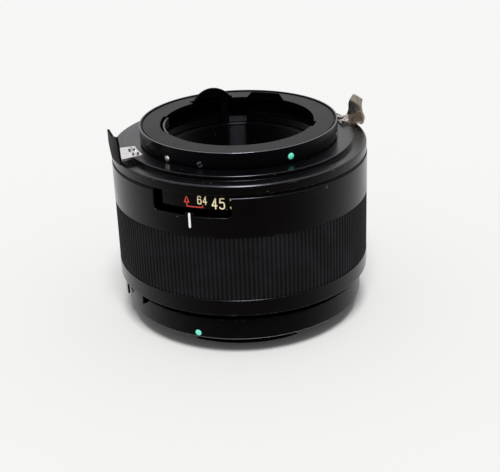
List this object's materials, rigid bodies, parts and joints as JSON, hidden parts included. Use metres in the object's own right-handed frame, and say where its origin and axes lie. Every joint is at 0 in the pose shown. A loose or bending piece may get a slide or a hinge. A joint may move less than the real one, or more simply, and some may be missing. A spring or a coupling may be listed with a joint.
{
  "type": "camera teleconverter",
  "caption": "Short cylindrical lens extender with a ribbed grip, a turning aperture collar with coupling tabs, a front bayonet socket and a rear bayonet plug.",
  "frame": {"origin": "on the optical axis at the end of the rear bayonet plug, where the part stands", "axes": "+Z along the optical axis towards the lens; -Y towards the side with the scale window"},
  "size_m": [0.0645, 0.0644, 0.0531],
  "materials": {
    "satin_black": "satin black anodised and painted aluminium",
    "matt_black": "matt black anodised",
    "bayonet_black": "satin black",
    "grip_rubber": "ribbed moulded rubber",
    "bright_screw": "nickel plated",
    "dark_screw": "blackened steel",
    "spring_steel": "drawn spring steel",
    "index_green": "glossy bead",
    "coated_glass": "polished and coated",
    "tab_chrome": "bright plated sheet steel",
    "lever_black": "black lacquer"
  },
  "bodies": {
    "barrel": {"outer_barrel": "satin_black", "rubber_grip": "grip_rubber", "barrel_screws": "bright_screw", "core_tube": "matt_black", "front_bayonet": "bayonet_black", "flange_screws": "bright_screw", "bayonet_stop_screw": "dark_screw", "bayonet_leaf_spring": "spring_steel", "index_beads": "index_green", "lens_cell": "matt_black", "front_baffle": "matt_black", "cell_screws": "bright_screw", "front_convex_glass": "coated_glass", "front_concave_glass": "coated_glass", "front_cemented_glass": "coated_glass", "rear_meniscus_glass": "coated_glass", "rear_convex_glass": "coated_glass", "rear_field_glass": "coated_glass", "front_spacer": "matt_black", "middle_spacer": "matt_black", "rear_spacer": "matt_black", "front_retaining_ring": "matt_black", "rear_retaining_ring": "matt_black", "stop_ring_clip": "spring_steel", "spring_post": "bright_screw", "stop_down_spring": "spring_steel", "rear_mount_ring": "satin_black", "rear_bayonet": "bayonet_black", "rear_screws": "bright_screw"},
    "aperture_ring": {"aperture_collar": "satin_black", "coupling_tab_left": "tab_chrome", "coupling_tab_right": "tab_chrome", "tab_screws": "bright_screw", "transfer_bar": "matt_black", "transfer_screws": "bright_screw", "rear_coupling_ring": "satin_black"},
    "stop_down": {"stop_down_ring": "matt_black", "stop_down_paddle": "lever_black", "stop_down_lever": "lever_black"}
  },
  "joints": [
    {"name": "aperture_turn", "type": "hinge", "parent": "barrel", "child": "aperture_ring", "pos_m": [0, 0, 0.044], "axis": [0, 0, 1], "range_deg": [-65, 0]},
    {"name": "stop_down_turn", "type": "hinge", "parent": "barrel", "child": "stop_down", "pos_m": [0, 0, 0.04], "axis": [0, 0, 1], "range_deg": [0, 18], "stiffness_Nm_per_rad": 0.03, "springref_deg": -17.19, "deforming": ["stop_down_spring"]}
  ]
}
